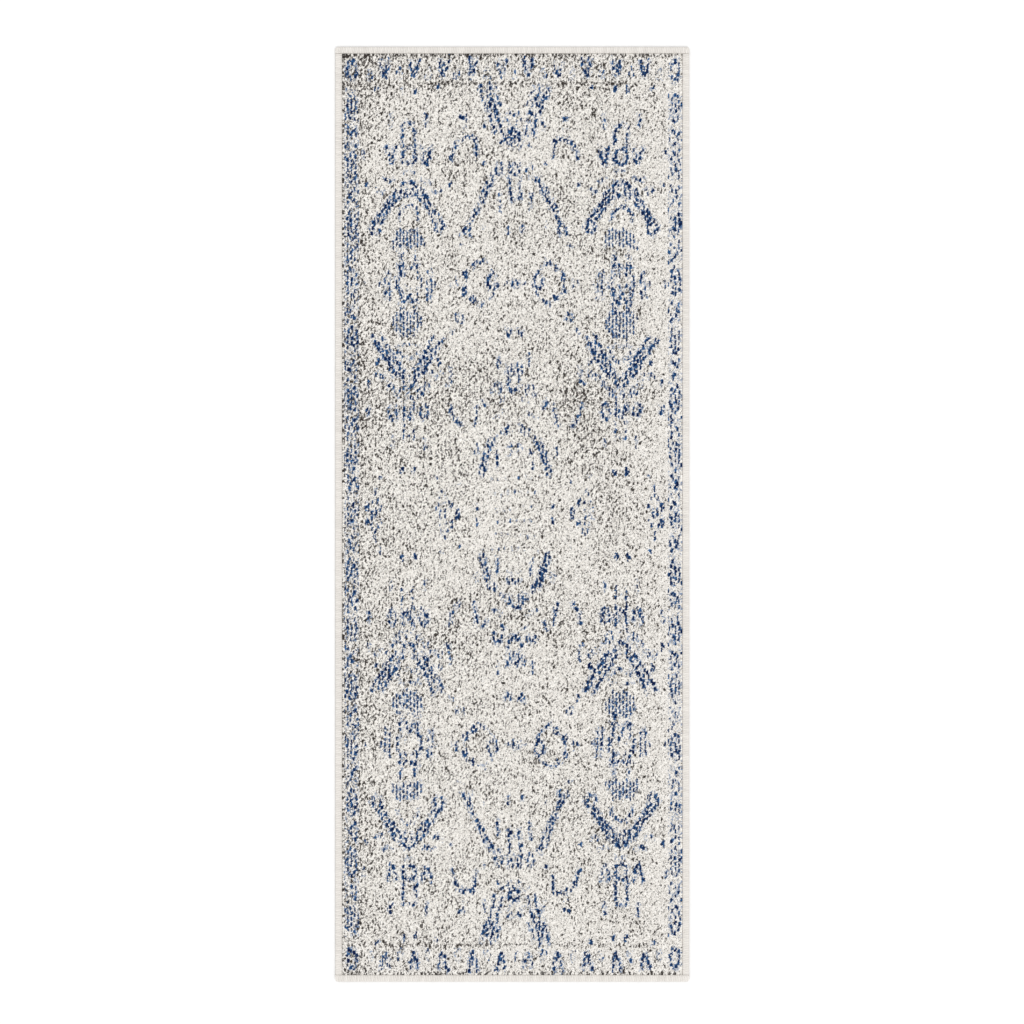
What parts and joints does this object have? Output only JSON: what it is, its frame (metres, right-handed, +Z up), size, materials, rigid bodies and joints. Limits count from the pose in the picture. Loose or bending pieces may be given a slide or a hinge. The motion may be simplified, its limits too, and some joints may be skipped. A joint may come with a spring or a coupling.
{
  "type": "runner rug",
  "caption": "Long narrow cut-pile rug with a woven ground, a sized back and overlocked edges, for a hall floor.",
  "frame": {"origin": "on the floor, under the middle of the rug", "axes": "+Y along the rug's length towards its head end, +X across it to the right, +Z up out of the pile"},
  "size_m": [0.685, 1.808, 0.0095],
  "materials": {
    "pile_yarn": "matt heat-set polypropylene cut pile, ivory with grey flecks and faded navy marks",
    "ground_yarn": "matt jute weft over polyester warps",
    "latex_size": "thin dull latex size over the back of the weave",
    "overlock_yarn": "matt ivory overlock yarn in close ribs",
    "needle_thread": "ivory polyester sewing thread, slight sheen"
  },
  "bodies": {
    "root": {"pile_field": "pile_yarn", "woven_ground": "ground_yarn", "latex_back_coat": "latex_size", "overlock_left": "overlock_yarn", "overlock_right": "overlock_yarn", "overlock_head_end": "overlock_yarn", "overlock_foot_end": "overlock_yarn", "needle_thread_left": "needle_thread", "needle_thread_right": "needle_thread", "needle_thread_head_end": "needle_thread", "needle_thread_foot_end": "needle_thread"}
  },
  "joints": []
}
